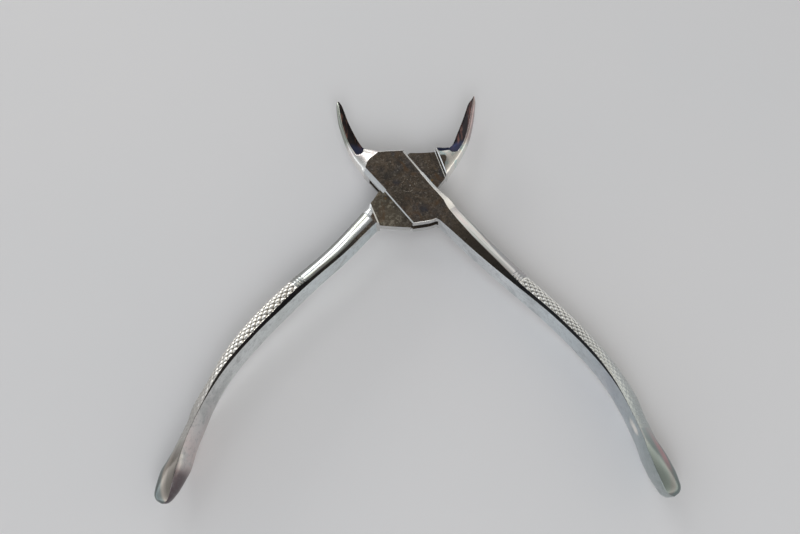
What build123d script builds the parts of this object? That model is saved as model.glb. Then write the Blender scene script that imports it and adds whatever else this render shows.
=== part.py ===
from build123d import *
import math
import os

# Box-joint nail nipper, opened wide: two crossed steel forgings and one pivot pin.
# The nipper lies flat: +X is right, +Y is towards the jaws, +Z is the front face.
# Origin: on the pivot axis, in the rear ground flat of the box (z = 0). Sizes in mm.
# The female half has its jaw on the left and its handle on the right; the male half,
# whose tongue passes through the female box, is the other way round.

# ---------------------------------------------------------------- joint
BOX_T = 6.6            # total thickness of the joint
PLATE_T = 2.1          # thickness of each box plate
SLOT_T = BOX_T - 2 * PLATE_T
MID_Z = BOX_T / 2      # plane halfway through the nipper
TONGUE_PLAY = 0.05     # gap between the tongue and each plate
PIN_R = 1.90
PIN_SHY = 0.05         # each end of the pin sits this far below the ground face
BORE_PLAY = 0.05       # radial running clearance of the tongue on the pin
CUT_OVER = 1.0         # a bore cutter overshoots each face by this much

# Walls and shoulders: (distance from the pivot axis, direction of the normal from +X)
JAW_WALL = (11.55, 157.5)       # end walls of the slot in the female half
GRIP_WALL = (12.40, -27.3)
JAW_SHOULDER = (11.50, 18.0)    # shoulders of the male half
GRIP_SHOULDER = (12.00, 200.6)
SLOT_REACH = 24.0      # half length of the slot cutter along each end wall
SLOT_END_R = 0.30      # edge radius where the slot meets its end walls
ON_WALL_TOL = 0.01     # an edge centred this close to an end wall lies on it

# ---------------------------------------------------------------- handle sizes
GRIP_DEPTH = 13.6      # depth of the handle (along Z) across its paddle end
END_PAST = 0.4         # the rounded end is worked out to this far past the last station
DEPTH_ROUND_L = 8.0    # length over which the depth rounds off at the end
THICK_ROUND_L = 5.0    # length over which the thickness rounds off at the end
DEPTH_FLOOR = 0.02     # least squared scale of the depth there
THICK_FLOOR = 0.05     # least squared scale of the thickness there
ROUND_INSET = 0.5      # thickness shrinks about a point this far inward of its middle
COLLAR_AT = 27.6       # distance of the collar bead along the handle
COLLAR_REACH = 1.0     # the bead starts at the station closer than this to COLLAR_AT
COLLAR_L = 1.1         # bead length
COLLAR_H = 0.35        # bead height over the handle

# Profiles along the handle: (distance along the handle, value)
HALF_DEPTH = [(0, MID_Z), (30, 4.3), (45, 5.0), (60, 5.6), (75, 6.2), (90, 6.6),
              (105, GRIP_DEPTH / 2)]
SIDE_FLAT = [(0, 3.6), (8, 3.0), (16, 2.3), (24, 1.6), (30, 1.2), (50, 1.0), (62, 0.6),
             (72, 0.3), (110, 0.25)]   # width of the front and rear flats
INNER_BULGE = [(0, 0.05), (55, 0.05), (70, 0.6), (82, 1.2), (92, 1.2), (110, 0.9)]

# Handle stations from the joint to the end: distance along the handle, x and y of the
# inner face's edges, outward normal x and y, thickness from there to the outer crown.
FEMALE_GRIP = [
    (4.0, 11.49, -13.64, 0.696, 0.718, 6.86),
    (11.9, 17.05, -19.27, 0.718, 0.696, 6.32),
    (19.8, 22.60, -24.92, 0.706, 0.708, 5.78),
    (27.7, 28.25, -30.46, 0.695, 0.719, 5.14),
    (39.6, 36.79, -38.71, 0.710, 0.704, 4.68),
    (51.4, 44.80, -47.47, 0.763, 0.646, 4.51),
    (63.3, 52.07, -56.85, 0.820, 0.572, 4.15),
    (75.2, 58.02, -67.08, 0.905, 0.425, 4.06),
    (87.0, 62.46, -78.08, 0.940, 0.342, 4.20),
    (94.0, 64.75, -84.65, 0.950, 0.312, 4.30),
    (98.3, 66.05, -88.70, 0.955, 0.298, 4.10),
    (100.6, 66.75, -90.85, 0.956, 0.294, 3.60),
]
MALE_GRIP = [
    (3.9, -12.05, -13.83, -0.686, 0.727, 5.71),
    (11.6, -17.58, -19.23, -0.695, 0.719, 5.25),
    (19.3, -23.28, -24.44, -0.670, 0.742, 5.08),
    (27.0, -29.01, -29.62, -0.687, 0.727, 5.25),
    (38.6, -37.29, -37.73, -0.698, 0.716, 5.30),
    (50.2, -45.44, -45.95, -0.740, 0.673, 4.83),
    (61.8, -52.64, -55.01, -0.824, 0.566, 3.98),
    (73.4, -58.53, -64.97, -0.897, 0.443, 3.70),
    (84.9, -62.75, -75.73, -0.954, 0.298, 3.85),
    (92.0, -64.80, -82.45, -0.956, 0.293, 4.30),
    (96.3, -66.05, -86.60, -0.959, 0.284, 4.10),
    (98.7, -66.75, -88.95, -0.962, 0.274, 3.60),
]

# Jaw stations from the tip to the root: outer point, inner point (the cutting edge's side),
# half depth of the outer side, half depth of the inner side, bulge of the outer side.
FEMALE_JAW = [
    ((-20.45, 29.60), (-19.85, 29.45), 0.35, 0.15, 0.15),
    ((-20.71, 28.07), (-19.20, 28.40), 0.70, 0.15, 0.45),
    ((-20.55, 25.02), (-18.20, 25.60), 1.05, 0.15, 0.75),
    ((-20.07, 21.56), (-17.20, 22.50), 1.50, 0.18, 1.00),
    ((-19.24, 18.39), (-15.90, 19.50), 2.00, 0.20, 1.10),
    ((-18.29, 15.34), (-14.50, 16.50), 2.50, 0.30, 1.20),
    ((-17.35, 12.63), (-13.20, 14.10), 2.90, 0.90, 1.20),
    ((-16.40, 10.41), (-12.00, 12.70), 3.15, 2.10, 1.20),
    ((-14.90, 8.00), (-10.30, 11.90), 3.25, 2.90, 1.10),
    ((-12.60, 5.60), (-8.20, 11.00), 3.28, 3.25, 0.60),
]
MALE_JAW = [
    ((20.62, 29.75), (20.10, 29.55), 0.35, 0.15, 0.15),
    ((20.83, 27.44), (19.00, 27.90), 0.70, 0.15, 0.45),
    ((20.55, 25.11), (18.00, 25.60), 1.05, 0.15, 0.75),
    ((20.16, 22.37), (17.10, 23.00), 1.50, 0.18, 1.00),
    ((19.68, 19.65), (16.00, 20.30), 2.00, 0.20, 1.10),
    ((18.92, 16.52), (14.75, 17.30), 2.50, 0.30, 1.20),
    ((18.08, 14.01), (13.60, 14.50), 2.90, 0.90, 1.20),
    ((17.00, 11.60), (12.60, 12.90), 3.15, 2.10, 1.20),
    ((15.30, 8.60), (11.30, 11.95), 3.25, 2.90, 1.00),
    ((12.95, 5.85), (10.20, 11.40), 3.28, 3.25, 0.50),
]


# ---------------------------------------------------------------- helpers
def wall_point(wall, along):
    """The point on a wall or shoulder line, this far along from its foot."""
    dist, deg = wall
    nx, ny = math.cos(math.radians(deg)), math.sin(math.radians(deg))
    return dist * nx - along * ny, dist * ny + along * nx


def on_wall(point, wall):
    dist, deg = wall
    nx, ny = math.cos(math.radians(deg)), math.sin(math.radians(deg))
    return abs(point.X * nx + point.Y * ny - dist) < ON_WALL_TOL


# Outlines in x and y, each (x, y)
BOX_OUTLINE = [
    (-12.80, 5.70), (-6.80, -1.50), (1.45, -11.65), (6.10, -11.00), (7.90, -10.55),
    (8.62, -10.92), (12.57, -14.71), (17.25, -9.86), (13.60, -5.67), (9.20, -1.70),
    (4.40, 4.75), (-0.85, 11.10), (-8.40, 11.05),
]
TONGUE_OUTLINE = [
    (0.75, 11.15), (9.60, 11.30), (12.00, 4.40), (10.60, 3.10), (8.80, 0.50),
    (-0.30, -11.95), (-9.60, -11.10), (-12.20, -5.60), (-11.10, -4.70), (-8.46, -0.46),
    (-4.30, 4.75),
]
JAW_BLOCK_OUTLINE = [
    wall_point(JAW_SHOULDER, 0.0), wall_point(JAW_SHOULDER, 7.5),
    (8.90, 11.45), (10.60, 11.60), (13.20, 6.00), (11.75, 4.10),
]
GRIP_BLOCK_OUTLINE = [
    wall_point(GRIP_SHOULDER, 0.4), wall_point(GRIP_SHOULDER, 7.0),
    (-9.21, -11.21), MALE_GRIP[0][1:3], (-15.95, -9.70), (-13.35, -6.75),
]


def lookup(profile, at):
    """Straight-line lookup in a list of (distance, value)."""
    for (at0, value0), (at1, value1) in zip(profile[:-1], profile[1:]):
        if at <= at1:
            return value0 + (value1 - value0) * max(0.0, at - at0) / (at1 - at0)
    return profile[-1][1]


def end_scale(at, end, length, floor):
    """Elliptical scale: 1 along the handle, falling over the last length before the end."""
    past = max(0.0, (at - (end - length)) / length)
    return math.sqrt(max(floor, 1 - past ** 2))


def section_plane(x, y, nx, ny):
    """Upright plane at (x, y): local x runs along the outward normal, local y along -Z."""
    return Plane(origin=(x, y, MID_Z), x_dir=(nx, ny, 0), z_dir=(-ny, nx, 0))


def prism(outline, z0, z1):
    face = Face(Wire.make_polygon([(x, y, z0) for x, y in outline], close=True))
    return Solid.extrude(face, Vector(0, 0, z1 - z0))


def bore(radius):
    return Solid.make_cylinder(radius, BOX_T + 2 * CUT_OVER, Plane((0, 0, -CUT_OVER)))


# ---------------------------------------------------------------- handles
def grip_section(station, end, grow=0.0):
    """D-shaped section: near-flat inner face, front and rear flats, rounded outer face."""
    at, x, y, nx, ny, thick = station
    half = lookup(HALF_DEPTH, at) * end_scale(at, end, DEPTH_ROUND_L, DEPTH_FLOOR) + grow
    scale = end_scale(at, end, THICK_ROUND_L, THICK_FLOOR)
    mid = thick / 2 - ROUND_INSET

    def shrunk(offset):
        return mid + (offset - mid) * scale

    inner_crown = shrunk(-grow - lookup(INNER_BULGE, at))
    outer_crown = shrunk(thick + grow)
    flat_in = shrunk(-grow)
    flat_out = shrunk(-grow + lookup(SIDE_FLAT, at))
    with BuildSketch(section_plane(x, y, nx, ny)) as section:
        with BuildLine():
            ThreePointArc((flat_in, -half), (inner_crown, 0), (flat_in, half))
            Line((flat_in, half), (flat_out, half))
            ThreePointArc((flat_out, half), (outer_crown, 0), (flat_out, -half))
            Line((flat_out, -half), (flat_in, -half))
        make_face()
    return section.sketch.faces()[0]


def grip(stations):
    """Lofted handle with a collar bead that grows away from the joint."""
    end = stations[-1][0] + END_PAST
    body = Solid.make_loft([grip_section(s, end).outer_wire() for s in stations])
    collar = [s for s in stations if abs(s[0] - COLLAR_AT) < COLLAR_REACH][0]
    nx, ny = collar[3:5]
    away = Vector(ny, -nx, 0) * (COLLAR_L * (1 if nx > 0 else -1))
    return body + Solid.extrude(grip_section(collar, end, COLLAR_H), away)


# ---------------------------------------------------------------- jaws
def jaw_section(station):
    """Wedge section: narrow inner side, wide bulged outer side."""
    (outer_x, outer_y), (x, y), outer_half, inner_half, bulge = station
    width = math.hypot(outer_x - x, outer_y - y)
    nx, ny = (outer_x - x) / width, (outer_y - y) / width
    shoulder = width - bulge
    with BuildSketch(section_plane(x, y, nx, ny)) as section:
        with BuildLine():
            Line((0, -inner_half), (0, inner_half))
            Line((0, inner_half), (shoulder, outer_half))
            ThreePointArc((shoulder, outer_half), (width, 0), (shoulder, -outer_half))
            Line((shoulder, -outer_half), (0, -inner_half))
        make_face()
    return section.sketch.faces()[0]


def jaw(stations):
    return Solid.make_loft([jaw_section(s).outer_wire() for s in stations])


# ---------------------------------------------------------------- pieces
def slot_cutter():
    """Cutter between the plates, its front and rear edges rounded along both end walls."""
    walls = (JAW_WALL, GRIP_WALL)
    outline = [wall_point(w, along) for w in walls for along in (-SLOT_REACH, SLOT_REACH)]
    slot = prism(outline, PLATE_T, PLATE_T + SLOT_T)
    slot_mid = PLATE_T + SLOT_T / 2
    wall_edges = [
        e for e in slot.edges()
        if abs(e.center().Z - slot_mid) > SLOT_T / 4
        and any(on_wall(e.center(), w) for w in walls)
    ]
    return slot.fillet(SLOT_END_R, wall_edges)


def female_half():
    body = prism(BOX_OUTLINE, 0, BOX_T) + jaw(FEMALE_JAW) + grip(FEMALE_GRIP)
    # keep the main piece; the slot can cut loose slivers off
    body = max((body - slot_cutter()).solids(), key=lambda piece: piece.volume)
    return body - bore(PIN_R)


def male_half():
    tongue = prism(TONGUE_OUTLINE, PLATE_T + TONGUE_PLAY, PLATE_T + SLOT_T - TONGUE_PLAY)
    jaw_block = prism(JAW_BLOCK_OUTLINE, 0, BOX_T)
    grip_block = prism(GRIP_BLOCK_OUTLINE, 0, BOX_T)
    body = tongue + jaw_block + grip_block + jaw(MALE_JAW) + grip(MALE_GRIP)
    return body - bore(PIN_R + BORE_PLAY)


def pivot_pin():
    return Solid.make_cylinder(PIN_R, BOX_T - 2 * PIN_SHY, Plane((0, 0, PIN_SHY)))


PIECES = {
    "female_half": (female_half, Color(0.62, 0.62, 0.60)),
    "male_half": (male_half, Color(0.70, 0.70, 0.70)),
    "pivot_pin": (pivot_pin, Color(0.45, 0.43, 0.40)),
}
os.makedirs("parts", exist_ok=True)
for name, (build, color) in PIECES.items():
    solids = build().solids()
    piece = solids[0] if len(solids) == 1 else Compound(children=solids)
    piece.label = name
    piece.color = color
    export_step(piece, f"parts/{name}.step")
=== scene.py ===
"""A pair of box-joint pliers, lying flat and open.

The pin stands on the world origin along z. The jaws point to +y and the handles to -y. The
female half has its jaw at -x and its handle at +x, and its box is slotted for the male half's
tongue. The box lies between z = 0 and z = 6.6 mm, and the front is its +z side. Lengths are in
mm up to the mesh; materials, lights and camera are in metres.
"""
import math
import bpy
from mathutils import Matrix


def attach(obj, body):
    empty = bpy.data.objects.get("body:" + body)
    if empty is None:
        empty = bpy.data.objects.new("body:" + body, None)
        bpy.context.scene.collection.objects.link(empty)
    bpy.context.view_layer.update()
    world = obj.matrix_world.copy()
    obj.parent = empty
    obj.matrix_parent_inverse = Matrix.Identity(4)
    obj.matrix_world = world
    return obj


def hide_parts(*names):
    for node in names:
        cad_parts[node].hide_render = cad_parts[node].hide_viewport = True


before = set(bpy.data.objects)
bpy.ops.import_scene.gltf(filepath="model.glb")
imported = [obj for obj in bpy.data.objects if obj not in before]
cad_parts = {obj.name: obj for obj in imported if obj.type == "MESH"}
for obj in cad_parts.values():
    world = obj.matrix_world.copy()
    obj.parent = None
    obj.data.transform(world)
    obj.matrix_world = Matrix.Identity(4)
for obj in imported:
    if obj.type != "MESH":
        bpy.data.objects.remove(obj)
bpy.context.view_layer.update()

from types import SimpleNamespace

import bmesh
import bpy
import numpy as np
from mathutils import Matrix, Vector

MM = 0.001

MID = 3.3  # height of the middle plane
HALF_THICK = 3.3  # half thickness of the box
SLOT = 1.2  # half height of the slot
SLOT_ROUND = 0.12  # rounding of the slot's edges
TONGUE = 1.15  # half thickness of the tongue
# ends of the slot: distance from the pin, direction in degrees
SLOT_JAW = (11.59, 157.5)
SLOT_GRIP = (12.4, -27.3)
HOLE_R = 1.9
BORE_R = 1.95
PIN_R = 1.885
PIN_CHAMFER = 0.09
PIN_SINK = 0.015  # pin ends below the box faces
ROUND_SIDES = 96

# points across the front of a section: side A, the middle, side B
NA, NM, NB = 8, 10, 40
FRONT_COUNT = NA + NM + NB + 1
JAW_STEP, BOX_STEP = 0.14, 0.30

# material slots of each half
BOX, KNURL, INNER, FRONT, JAW, INSIDE, GRIP, FLAT = range(8)

# ------------------------------------------------------------------ handle tables
# distance along, x, y of the inner face's front edge, outward normal x, y, crown offset
F_GRIP = [
    (0.0,8.62,-10.92,0.688,0.726,7.23), (4.0,11.49,-13.64,0.696,0.718,6.86),
    (7.9,14.30,-16.43,0.711,0.703,6.56), (11.9,17.05,-19.27,0.718,0.696,6.32),
    (15.8,19.81,-22.11,0.714,0.700,6.08), (19.8,22.60,-24.92,0.706,0.708,5.78),
    (23.7,25.41,-27.70,0.700,0.714,5.44), (27.7,28.25,-30.46,0.695,0.719,5.14),
    (31.7,31.11,-33.20,0.692,0.722,4.93), (35.6,33.97,-35.94,0.696,0.718,4.79),
    (39.6,36.79,-38.71,0.710,0.704,4.68), (43.5,39.54,-41.56,0.730,0.684,4.61),
    (47.5,42.20,-44.48,0.747,0.665,4.56), (51.4,44.80,-47.47,0.763,0.646,4.51),
    (55.4,47.32,-50.52,0.781,0.624,4.42), (59.4,49.74,-53.65,0.799,0.601,4.28),
    (63.3,52.07,-56.85,0.820,0.572,4.15), (67.3,54.26,-60.14,0.848,0.530,4.07),
    (71.2,56.25,-63.55,0.879,0.476,4.05), (75.2,58.02,-67.08,0.905,0.425,4.06),
    (79.1,59.61,-70.70,0.922,0.386,4.07), (83.1,61.08,-74.37,0.933,0.360,4.11),
    (87.0,62.46,-78.08,0.940,0.342,4.20), (91.0,63.79,-81.81,0.946,0.326,4.32),
    (95.0,65.04,-85.57,0.951,0.310,4.34), (98.9,66.24,-89.34,0.955,0.298,4.24),
    (102.9,67.40,-93.13,0.956,0.294,4.12),
]
M_GRIP = [
    (0.0,-9.21,-11.21,-0.678,0.735,6.10), (3.9,-12.05,-13.83,-0.686,0.727,5.71),
    (7.7,-14.83,-16.51,-0.698,0.716,5.43), (11.6,-17.58,-19.23,-0.695,0.719,5.25),
    (15.5,-20.39,-21.88,-0.675,0.737,5.12), (19.3,-23.28,-24.44,-0.670,0.742,5.04),
    (23.2,-26.17,-27.00,-0.676,0.737,5.08), (27.0,-29.01,-29.62,-0.687,0.727,5.22),
    (30.9,-31.79,-32.30,-0.700,0.714,5.35), (34.8,-34.53,-35.02,-0.702,0.712,5.42),
    (38.6,-37.29,-37.73,-0.700,0.714,5.40), (42.5,-40.06,-40.41,-0.701,0.713,5.28),
    (46.4,-42.79,-43.14,-0.717,0.697,5.06), (50.2,-45.44,-45.95,-0.740,0.673,4.80),
    (54.1,-47.99,-48.86,-0.767,0.641,4.50), (57.9,-50.39,-51.87,-0.797,0.603,4.22),
    (61.8,-52.64,-55.01,-0.824,0.566,3.98), (65.7,-54.76,-58.24,-0.848,0.529,3.82),
    (69.5,-56.73,-61.56,-0.873,0.488,3.72), (73.4,-58.53,-64.97,-0.897,0.443,3.64),
    (77.2,-60.14,-68.47,-0.920,0.392,3.60), (81.1,-61.55,-72.06,-0.941,0.338,3.66),
    (84.9,-62.75,-75.73,-0.954,0.298,3.88), (88.8,-63.85,-79.43,-0.957,0.290,4.19),
    (92.7,-64.99,-83.12,-0.956,0.293,4.40), (96.5,-66.12,-86.81,-0.959,0.284,4.40),
    (100.4,-67.18,-90.53,-0.962,0.274,4.29),
]

# distance along, half depth
HALF_DEPTH = [
    (0, 3.3), (8, 3.55), (30, 4.3), (45, 5.0), (60, 5.6), (75, 6.2), (90, 6.6), (105, 6.8),
]
# distance along, width of the front flat
F_FLAT = [
    (0, 4.38), (1.5, 4.13), (4, 3.72), (7, 3.35), (10, 3.05), (13, 2.82), (16, 2.6),
    (20, 2.3), (24, 1.9), (28, 1.5), (33, 1.17), (40, 1.05), (50, 0.95), (58, 0.85),
    (64, 0.6), (70, 0.35), (78, 0.12), (110, 0.1),
]
M_FLAT = [
    (0, 1.3), (8, 1.15), (13, 1.0), (20, 0.95), (24, 0.95), (28, 1.3), (34, 1.5),
    (40, 1.25), (48, 1.05), (56, 1.0), (64, 0.75), (70, 0.35), (78, 0.12), (110, 0.1),
]
# distance along, shift of the ridge, shift of the crown (both inwards), extra bulge
F_TRIM = [
    (0, 0, 0.26, 0), (4, 0.15, 0.33, 0), (8, 0.3, 0.25, 0), (12, 0.36, 0.25, 0),
    (18, 0.36, 0.2, 0), (25, 0.36, 0.0, 0), (50, 0.35, 0, 0), (60, 0.35, 0.0, 0),
    (66.5, 0.5, 0.05, 0.1), (74, 0.8, 0.30, -0.05), (79.7, 1.0, 0.95, -0.4),
    (85.4, 1.2, 1.08, -0.6), (89.2, 1.6, 0.58, -0.55), (93, 1.6, 0.15, -0.65),
    (96.7, 1.3, -0.15, -0.4), (102, 0.4, 0, 0),
]
M_TRIM = [
    (0, -0.1, 0, 0), (5, 0.1, 0, 0), (10, 0.25, 0, 0), (30, 0.2, 0, 0), (42, 0.22, 0, 0),
    (50, 0.4, 0, 0), (56, 0.42, 0.1, 0.1), (62, 0.4, 0.5, 0.45), (66, 0.45, 0.8, 0.5),
    (73, 0.5, 0.65, 0.8), (77, 0.5, 1.15, 1.0), (82.7, 0.4, 0.9, 1.0), (88.3, 0.35, 0.2, 1.1),
    (92, 0.3, -0.45, 0.6), (95.8, 0.2, -0.36, -0.15), (98, 0.15, -0.2, -0.9),
    (100, 0.1, -0.1, -1.2),
]

# ------------------------------------------------------------------ jaw and box tables
# Side A: jaw's outer crown, the box edge below it, the handle's inner face.
# Side B: jaw's cutting edge, the other box edge, the handle's outer crown.
# Columns: A x, y, B x, y, then for A and again for B: width of the side's curve, half depth
# at its end, wall share (0 round, 1 wall with a chamfer), chamfer height. The last column is
# the extra height halfway across. The first segment is the jaw, the others are the box.
F_ROWS = [[
    (-20.42, 29.66, -20.05, 29.62, 0.14, 0.16, 0, 0, 0.10, 0.16, 0, 0, 0),
    (-20.56, 29.25, -19.66, 29.22, 0.36, 0.38, 0, 0, 0.40, 0.36, 0, 0, 0),
    (-20.65, 28.80, -19.36, 28.74, 0.55, 0.58, 0, 0, 0.60, 0.56, 0, 0, 0),
    (-20.71, 28.07, -18.98, 27.95, 0.78, 0.78, 0, 0, 0.80, 0.75, 0, 0, 0),
    (-20.67, 26.60, -18.45, 26.45, 0.92, 0.96, 0, 0, 1.00, 0.92, 0, 0, 0),
    (-20.55, 25.02, -17.95, 24.80, 1.00, 1.14, 0, 0, 1.20, 1.10, 0, 0, 0),
    (-20.34, 23.30, -17.45, 23.25, 1.06, 1.32, 0, 0, 1.35, 1.28, 0, 0, 0),
    (-20.07, 21.56, -16.78, 21.50, 1.08, 1.50, 0, 0, 1.50, 1.46, 0, 0, 0),
    (-19.68, 19.98, -16.05, 19.80, 1.06, 1.67, 0, 0, 1.60, 1.62, 0, 0, 0),
    (-19.24, 18.39, -15.22, 17.95, 1.02, 1.84, 0, 0, 1.70, 1.78, 0, 0, 0),
    (-18.78, 16.86, -14.42, 16.35, 1.00, 2.00, 0, 0, 1.75, 1.92, 0, 0, 0),
    (-18.29, 15.34, -13.62, 14.98, 1.00, 2.15, 0, 0, 1.75, 2.04, 0, 0, 0),
    (-17.83, 13.98, -12.92, 14.02, 1.05, 2.26, 0, 0, 1.70, 2.14, 0, 0, 0.05),
    (-17.35, 12.63, -12.20, 13.48, 1.15, 2.36, 0, 0, 1.65, 2.24, 0, 0, 0.10),
    (-16.40, 10.41, -11.30, 13.20, 1.35, 2.50, 0, 0, 1.65, 2.38, 0, 0, 0.15),
    (-15.20, 8.30, -10.10, 12.95, 1.45, 2.72, 0, 0, 1.70, 2.58, 0, 0, 0.20),
    (-14.10, 6.80, -9.05, 12.55, 1.40, 2.94, 0.1, 0.3, 1.60, 2.82, 0.1, 0.3, 0.22),
    (-13.35, 5.85, -8.55, 12.00, 1.28, 3.14, 0.5, 0.6, 1.20, 3.04, 0.5, 0.3, 0.22),
    (-12.90, 5.29, -8.20, 11.40, 1.20, 3.32, 1, 0.90, 0.40, 3.32, 1, 0.20, 0.08),
], [
    (-12.90, 5.29, -8.20, 11.40, 1.20, 3.32, 1, 0.90, 0.40, 3.32, 1, 0.20, 0),
    (-11.23, 3.23, -4.60, 11.42, 1.20, 3.32, 1, 0.90, 0.30, 3.32, 1, 0.15, 0),
    (-9.20, 0.72, -0.95, 11.42, 1.20, 3.32, 1, 0.90, 0.25, 3.32, 1, 0.12, 0),
], [
    (-9.20, 0.72, -0.90, 11.40, 1.20, 3.32, 1, 0.90, 0.60, 3.32, 1, 0.55, 0),
    (-7.20, -1.78, 3.15, 5.92, 1.20, 3.32, 1, 0.90, 0.66, 3.32, 1, 0.55, 0),
], [
    (-7.20, -1.78, 3.15, 5.92, 1.20, 3.32, 1, 0.90, 0.66, 3.32, 1, 0.55, 0),
    (-6.78, -1.35, 3.55, 5.36, 0.60, 3.32, 1, 0.42, 0.66, 3.32, 1, 0.55, 0),
], [
    (-6.78, -1.35, 3.55, 5.36, 0.40, 3.32, 1, 0.32, 0.66, 3.32, 1, 0.55, 0),
    (-6.05, -2.32, 4.14, 4.54, 0.36, 3.32, 1, 0.30, 0.66, 3.32, 1, 0.55, 0),
], [
    (-6.05, -2.32, 4.14, 4.54, 0.36, 3.32, 1, 0.30, 0.66, 3.32, 1, 0.55, 0),
    (-5.75, -2.72, 4.52, 4.42, 0.36, 3.32, 1, 0.30, 1.00, 3.32, 1, 0.80, 0),
], [
    (-5.75, -2.72, 4.52, 4.42, 0.36, 3.32, 1, 0.30, 1.00, 3.32, 1, 0.80, 0),
    (-1.20, -8.72, 9.30, -1.62, 0.36, 3.32, 1, 0.30, 1.22, 3.32, 1, 0.95, 0),
    (1.16, -11.83, 11.50, -3.60, 0.36, 3.32, 1, 0.30, 1.78, 3.32, 1, 1.35, 0),
], [
    (1.36, -11.74, 11.60, -3.70, 0.25, 3.32, 1, 0.15, 1.80, 3.32, 1, 1.38, 0),
    (6.10, -11.10, 12.60, -4.84, 0.25, 3.32, 1, 0.15, 2.34, 3.32, 1, 1.70, 0),
    (7.80, -10.52, 13.02, -5.40, 0.20, 3.32, 1, 0.12, 2.46, 3.32, 1, 1.80, 0),
], [
    (7.80, -10.52, 13.02, -5.40, 0.20, 3.32, 1, 0.12, 2.46, 3.32, 1, 1.80, 0),
    (8.62, -10.92, 13.42, -5.87, 0.06, 3.32, 1, 0.05, 2.59, 3.32, 1, 1.95, 0),
]]
M_ROWS = [[
    (20.66, 29.88, 20.28, 29.84, 0.14, 0.16, 0, 0, 0.10, 0.16, 0, 0, 0),
    (20.74, 29.35, 20.02, 29.30, 0.36, 0.38, 0, 0, 0.35, 0.36, 0, 0, 0),
    (20.80, 28.70, 19.62, 28.70, 0.55, 0.58, 0, 0, 0.55, 0.56, 0, 0, 0),
    (20.84, 27.95, 19.10, 27.98, 0.78, 0.78, 0, 0, 0.80, 0.75, 0, 0, 0),
    (20.80, 26.90, 18.58, 27.10, 0.92, 0.94, 0, 0, 1.00, 0.90, 0, 0, 0),
    (20.55, 25.11, 17.94, 25.30, 1.04, 1.12, 0, 0, 1.20, 1.08, 0, 0, 0),
    (20.37, 23.70, 17.42, 23.80, 1.10, 1.27, 0, 0, 1.35, 1.23, 0, 0, 0),
    (20.16, 22.37, 16.93, 22.45, 1.14, 1.41, 0, 0, 1.45, 1.37, 0, 0, 0),
    (19.92, 20.95, 16.38, 21.00, 1.16, 1.56, 0, 0, 1.55, 1.51, 0, 0, 0),
    (19.60, 19.40, 15.77, 19.50, 1.18, 1.71, 0, 0, 1.65, 1.66, 0, 0, 0),
    (19.25, 17.90, 15.15, 18.00, 1.20, 1.86, 0, 0, 1.70, 1.80, 0, 0, 0),
    (18.85, 16.35, 14.60, 16.60, 1.22, 2.00, 0, 0, 1.75, 1.92, 0, 0, 0),
    (18.45, 15.10, 14.12, 15.35, 1.24, 2.10, 0, 0, 1.70, 2.02, 0, 0, 0),
    (18.00, 13.80, 13.60, 14.25, 1.25, 2.20, 0, 0, 1.65, 2.10, 0, 0, 0.05),
    (17.42, 12.42, 12.98, 13.50, 1.30, 2.30, 0, 0, 1.60, 2.18, 0, 0, 0.10),
    (16.62, 10.90, 12.17, 13.04, 1.38, 2.40, 0, 0, 1.60, 2.28, 0, 0, 0.16),
    (15.70, 9.25, 11.35, 12.84, 1.45, 2.54, 0, 0, 1.60, 2.42, 0, 0, 0.24),
    (14.60, 7.55, 10.40, 12.78, 1.45, 2.72, 0, 0, 1.55, 2.60, 0, 0, 0.32),
    (13.30, 5.90, 9.50, 12.72, 1.35, 2.92, 0.2, 0.3, 1.35, 2.82, 0.2, 0.3, 0.40),
    (11.90, 4.25, 8.60, 12.45, 1.00, 3.12, 0.6, 0.3, 0.80, 2.98, 0.5, 0.3, 0.30),
], [
    (11.90, 4.25, 8.60, 12.45, 1.00, 3.12, 0.6, 0.3, 0.80, 2.98, 0.5, 0.3, 0.30),
    (10.75, 2.75, 8.15, 11.80, 0.45, 3.28, 1, 0.2, 0.45, 3.14, 1, 0.2, 0.16),
    (10.30, 2.15, 7.95, 11.45, 0.30, 3.32, 1, 0.15, 0.35, 3.32, 1, 0.15, 0.06),
    (8.87, 0.39, 4.50, 11.30, 0.15, 3.32, 1, 0.1, 0.15, 3.32, 1, 0.1, 0),
    (6.40, -3.20, 0.90, 11.40, 0.15, 3.32, 1, 0.1, 0.15, 3.32, 1, 0.1, 0),
], [
    (6.40, -3.20, 0.60, 11.30, 0.15, 3.32, 1, 0.1, 0.15, 3.32, 1, 0.1, 0),
    (3.40, -7.55, -4.20, 5.20, 0.15, 3.32, 1, 0.1, 0.15, 3.32, 1, 0.1, 0),
    (0.24, -12.15, -8.46, -0.46, 0.15, 3.32, 1, 0.1, 0.15, 3.32, 1, 0.1, 0),
], [
    (0.04, -12.20, -8.60, -0.62, 0.15, 3.32, 1, 0.1, 0.15, 3.32, 1, 0.1, 0),
    (-4.60, -11.75, -10.20, -3.20, 0.15, 3.32, 1, 0.1, 0.50, 3.32, 0.9, 0.5, 0),
    (-8.10, -11.32, -12.10, -5.40, 0.12, 3.32, 1, 0.1, 3.60, 3.32, 0.1, 1.2, 0),
], [
    (-8.10, -11.32, -12.10, -5.40, 0.12, 3.32, 1, 0.1, 3.60, 3.32, 0.1, 1.2, 0),
    (-9.21, -11.21, -13.35, -6.73, 0.06, 3.32, 1, 0.05, 4.10, 3.32, 0, 1.20, 0),
]]

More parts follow.
